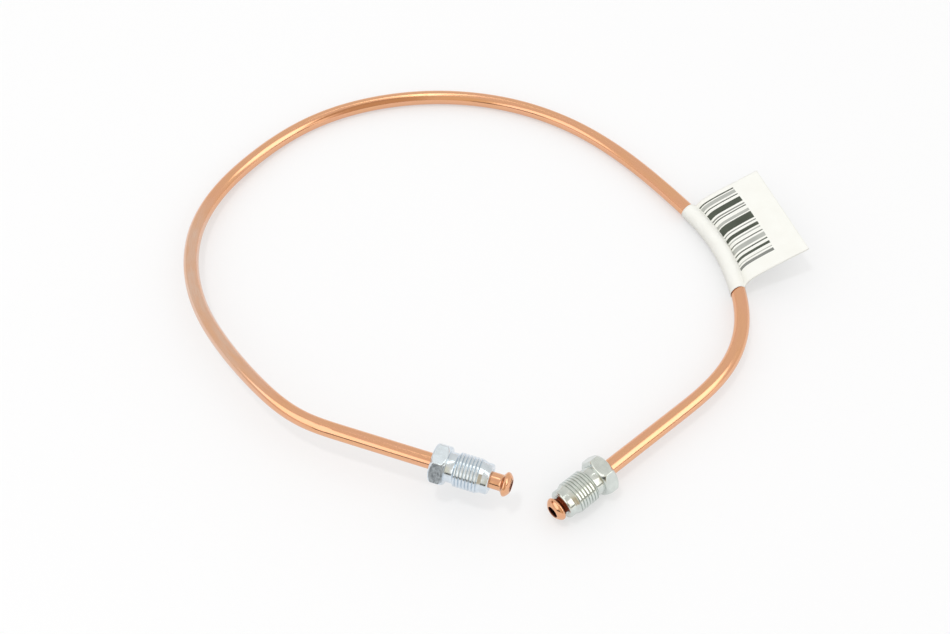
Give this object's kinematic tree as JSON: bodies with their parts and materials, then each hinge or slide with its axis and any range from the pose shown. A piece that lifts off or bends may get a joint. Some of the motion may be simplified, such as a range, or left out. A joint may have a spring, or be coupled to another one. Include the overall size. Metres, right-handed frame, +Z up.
{
  "type": "brake line",
  "caption": "Formed metal brake line in an open loop, with a bubble flare and a male tube nut at each end and a folded paper flag label.",
  "frame": {"origin": "centre of the footprint, on the floor that the line rests on", "axes": "+X to the right along the loop's longest side, +Y from the two fittings to the far side of the loop, +Z up"},
  "size_m": [0.198, 0.167, 0.0175],
  "materials": {
    "copper_alloy": "bright drawn copper-coloured tube with fine lengthwise draw marks",
    "zinc_plated_steel": "bright zinc plating over turned steel",
    "paper": "matt self-adhesive paper with a plain field of dark bars"
  },
  "bodies": {
    "tube": {"brake_tube": "copper_alloy", "paper_label": "paper"},
    "left_nut": {"tube_nut_left": "zinc_plated_steel"},
    "right_nut": {"tube_nut_right": "zinc_plated_steel"}
  },
  "joints": [
    {"name": "left_nut_turn", "type": "hinge", "parent": "tube", "child": "left_nut", "pos_m": [-0.00976, -0.07192, 0.012], "axis": [0.9444, -0.3289, 0], "continuous": true},
    {"name": "right_nut_turn", "type": "hinge", "parent": "tube", "child": "right_nut", "pos_m": [0.02457, -0.07396, 0.0055], "axis": [-0.7668, -0.6419, 0], "continuous": true}
  ]
}
